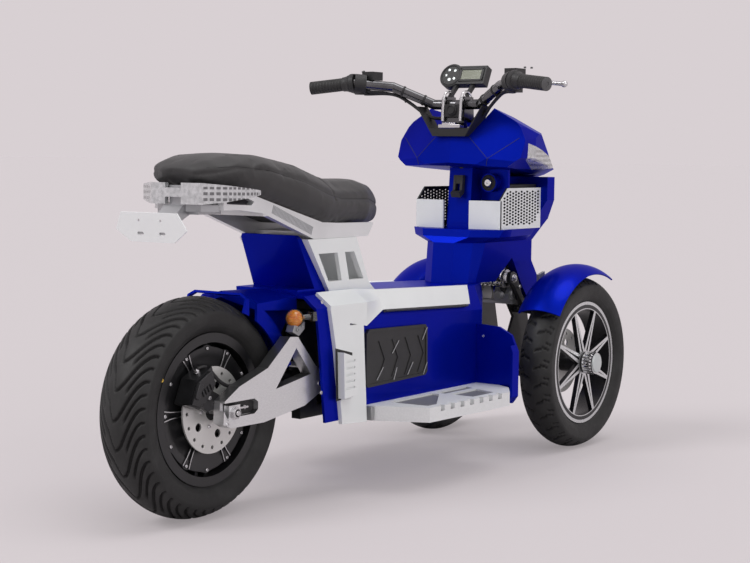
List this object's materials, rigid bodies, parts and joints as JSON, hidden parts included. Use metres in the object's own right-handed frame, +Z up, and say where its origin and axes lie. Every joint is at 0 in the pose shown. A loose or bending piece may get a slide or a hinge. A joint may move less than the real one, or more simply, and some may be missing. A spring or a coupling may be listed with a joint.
{
  "type": "three-wheeled electric scooter",
  "caption": "Electric scooter with a pair of steered tilting front wheels, a hub-motor rear wheel, a faceted head cowl, a centre tunnel with footboards and a stepped dual saddle.",
  "frame": {"origin": "on the ground, under the middle of the whole vehicle's box, close to midway between the front and rear axles", "axes": "+X forward, +Y to the rider's left, +Z up"},
  "size_m": [1.7428, 0.721, 1.0129],
  "materials": {
    "tyre": "matte, treaded",
    "rim_silver": "satin silver paint",
    "rim_dark": "satin black paint",
    "disc_steel": "ground steel",
    "frame_black": "satin black powder coat",
    "battery_case": "matte",
    "paint_blue": "gloss blue",
    "paint_white": "gloss white",
    "board_cast": "cast, grained",
    "bar_polished": "polished dark metal",
    "silver": "satin silver paint",
    "plastic_black": "grained matte",
    "plastic_grey": "satin silver-grey",
    "seat_vinyl": "grained vinyl",
    "plate_white": "gloss",
    "lamp_amber": "amber lens",
    "lamp_clear": "clear lens",
    "steel_black": "satin black",
    "rubber_black": "ribbed",
    "alu_cast": "cast"
  },
  "bodies": {
    "chassis": {"bag_hook": "plastic_black", "battery_block": "battery_case", "column_cover": "paint_blue", "footboards": "board_cast", "front_cowl": "paint_blue", "front_shock": "steel_black", "head_cowl": "paint_blue", "headlamps": "lamp_clear", "heat_sink": "alu_cast", "indicators": "lamp_amber", "leg_shields": "paint_blue", "lock_panel": "paint_blue", "main_frame": "frame_black", "number_plate": "plate_white", "rear_body": "paint_blue", "rear_caliper": "steel_black", "seat_cushion": "seat_vinyl", "seat_post": "paint_white", "seat_rail": "silver", "side_trim": "paint_white", "side_vents": "paint_white", "suspension_arms": "steel_black", "swingarm": "silver", "tail_light": "lamp_clear", "tail_tray": "plastic_grey", "tunnel_cover": "paint_blue", "tunnel_pads": "plastic_black"},
    "rear_wheel": {"rear_tyre": "tyre", "rear_rim": "rim_dark", "rear_disc": "disc_steel"},
    "steering": {"handlebar": "bar_polished", "grips": "rubber_black", "bar_controls": "plastic_black", "dash_display": "plastic_black"},
    "knuckle_left": {"knuckle_left": "alu_cast", "front_fender_left": "paint_blue"},
    "knuckle_right": {"knuckle_right": "alu_cast", "front_fender_right": "paint_blue"},
    "front_wheel_left": {"front_tyre_left": "tyre", "front_rim_left": "rim_silver", "front_disc_left": "disc_steel"},
    "front_wheel_right": {"front_tyre_right": "tyre", "front_rim_right": "rim_silver", "front_disc_right": "disc_steel"},
    "peg_left": {"passenger_peg_left": "alu_cast"},
    "peg_right": {"passenger_peg_right": "alu_cast"}
  },
  "joints": [
    {"name": "rear_wheel_spin", "type": "hinge", "parent": "chassis", "child": "rear_wheel", "pos_m": [-0.64, 0, 0.236], "axis": [0, 1, 0], "continuous": true},
    {"name": "handlebar_steer", "type": "hinge", "parent": "chassis", "child": "steering", "pos_m": [0.388, 0, 0.905], "axis": [-0.2756, 0, 0.9613], "range_deg": [-30, 30]},
    {"name": "knuckle_steer_left", "type": "hinge", "parent": "chassis", "child": "knuckle_left", "pos_m": [0.64, 0.15, 0.227], "axis": [-0.2079, 0, 0.9781], "range_deg": [-30, 30]},
    {"name": "knuckle_steer_right", "type": "hinge", "parent": "chassis", "child": "knuckle_right", "pos_m": [0.64, -0.15, 0.227], "axis": [-0.2079, 0, 0.9781], "range_deg": [-30, 30]},
    {"name": "front_wheel_spin_left", "type": "hinge", "parent": "knuckle_left", "child": "front_wheel_left", "pos_m": [0.64, 0.218, 0.227], "axis": [0, 1, 0], "continuous": true},
    {"name": "front_wheel_spin_right", "type": "hinge", "parent": "knuckle_right", "child": "front_wheel_right", "pos_m": [0.64, -0.218, 0.227], "axis": [0, 1, 0], "continuous": true},
    {"name": "peg_fold_left", "type": "hinge", "parent": "chassis", "child": "peg_left", "pos_m": [-0.3, 0.1503, 0.232], "axis": [-1, 0, 0], "range_deg": [0, 90]},
    {"name": "peg_fold_right", "type": "hinge", "parent": "chassis", "child": "peg_right", "pos_m": [-0.3, -0.1503, 0.232], "axis": [1, 0, 0], "range_deg": [0, 90]}
  ],
  "couplings": [
    {"joint": "knuckle_steer_left", "follows": "handlebar_steer", "ratio": 1},
    {"joint": "knuckle_steer_right", "follows": "handlebar_steer", "ratio": 1}
  ]
}
